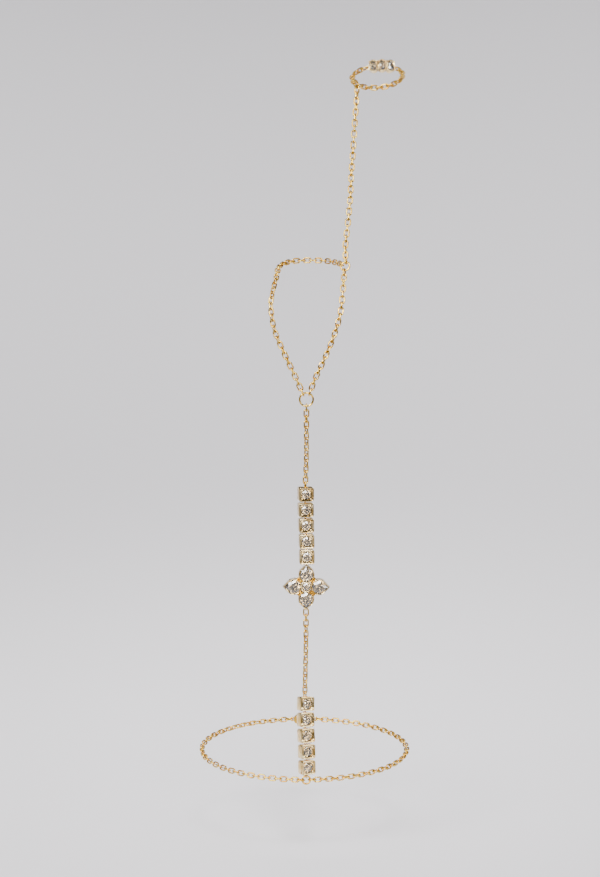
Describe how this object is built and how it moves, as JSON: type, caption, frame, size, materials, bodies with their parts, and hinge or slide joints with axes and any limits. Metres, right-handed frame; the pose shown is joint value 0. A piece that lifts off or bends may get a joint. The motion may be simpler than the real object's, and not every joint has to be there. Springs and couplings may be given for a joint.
{
  "type": "hand chain bracelet",
  "caption": "Gold hand chain: wrist chain, strand of jewelled squares with a four-petal flower, a finger loop and a chain finger ring with a bar of oval stones.",
  "frame": {"origin": "middle of the wrist loop, on the axis of the wrist that it is worn on", "axes": "+Z towards the fingertips, -Y out of the front of the jewel (the back of the hand), +X to the side of the index finger, right in the picture"},
  "size_m": [0.0702, 0.057, 0.2325],
  "materials": {
    "gold": "polished gold plate",
    "stone": "clear cut stone, polished"
  },
  "bodies": {
    "root": {"wrist_chain_left": "gold", "wrist_chain_right": "gold", "wrist_clasp": "gold", "wrist_ring": "gold", "lower_square_1": "gold", "lower_square_2": "gold", "lower_square_3": "gold", "lower_square_4": "gold", "lower_square_5": "gold", "lower_stone_1": "stone", "lower_stone_2": "stone", "lower_stone_3": "stone", "lower_stone_4": "stone", "lower_stone_5": "stone", "lower_chain": "gold", "flower_setting": "gold", "flower_stone_middle": "stone", "flower_stone_top": "stone", "flower_stone_left": "stone", "flower_stone_bottom": "stone", "flower_stone_right": "stone", "upper_square_1": "gold", "upper_square_2": "gold", "upper_square_3": "gold", "upper_square_4": "gold", "upper_square_5": "gold", "upper_stone_1": "stone", "upper_stone_2": "stone", "upper_stone_3": "stone", "upper_stone_4": "stone", "upper_stone_5": "stone", "upper_chain": "gold", "middle_ring": "gold", "loop_chain_left": "gold", "loop_chain_right": "gold", "side_ring": "gold", "long_chain": "gold", "top_ring": "gold", "index_chain_left": "gold", "index_chain_right": "gold", "bar_setting": "gold", "bar_stone_1": "stone", "bar_stone_2": "stone", "bar_stone_3": "stone"}
  },
  "joints": []
}
